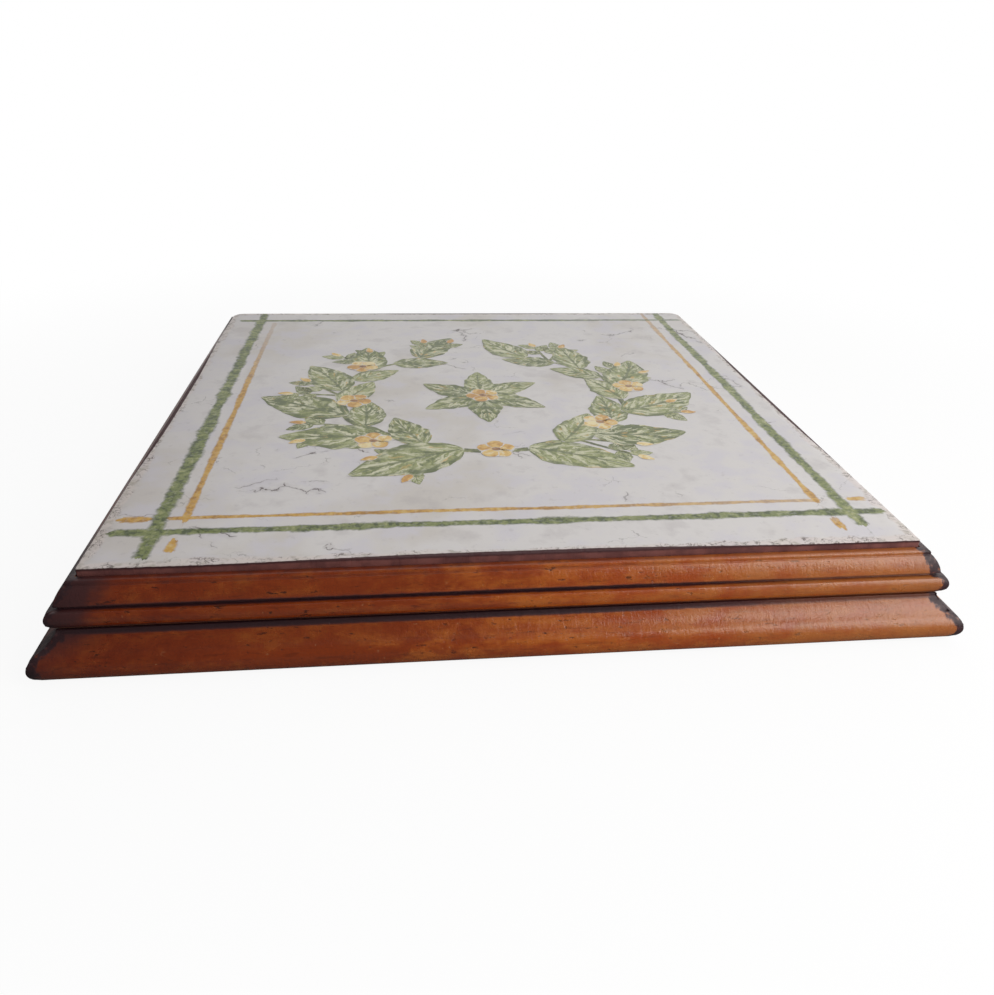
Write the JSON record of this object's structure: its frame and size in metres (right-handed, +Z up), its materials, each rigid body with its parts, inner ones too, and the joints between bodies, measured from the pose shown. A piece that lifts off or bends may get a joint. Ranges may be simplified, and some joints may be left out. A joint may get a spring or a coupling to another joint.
{
  "type": "tile trivet",
  "caption": "Square glazed ceramic tile set in a low mitred wood frame with a beaded upper moulding and a flared base, for standing hot dishes on.",
  "frame": {"origin": "centre of the footprint, on the surface that the felt pads stand on", "axes": "+Z up through the tile's face, -Y towards the front rail, +X towards the right rail"},
  "size_m": [0.222, 0.222, 0.0242],
  "materials": {
    "tile_glaze": "crackled off-white glaze over a painted design, satin gloss",
    "adhesive": "set tile adhesive, matte",
    "board": "plain plywood",
    "frame_wood": "reddish brown stain with a satin lacquer, darker in the groove and along the mitres",
    "base_wood": "reddish brown stain with a satin lacquer, nearly black in the recess above it",
    "steel": "bright wire and strip steel",
    "felt": "dark grey felt"
  },
  "bodies": {
    "root": {"tile": "tile_glaze", "tile_adhesive": "adhesive", "backing_board": "board", "upper_rail_front": "frame_wood", "upper_rail_right": "frame_wood", "upper_rail_back": "frame_wood", "upper_rail_left": "frame_wood", "base_rail_front": "base_wood", "base_rail_right": "base_wood", "base_rail_back": "base_wood", "base_rail_left": "base_wood", "upper_mitre_nails": "steel", "base_mitre_nails": "steel", "frame_brads": "steel", "board_pins": "steel", "felt_pad_front_left": "felt", "felt_pad_front_right": "felt", "felt_pad_back_right": "felt", "felt_pad_back_left": "felt"}
  },
  "joints": []
}
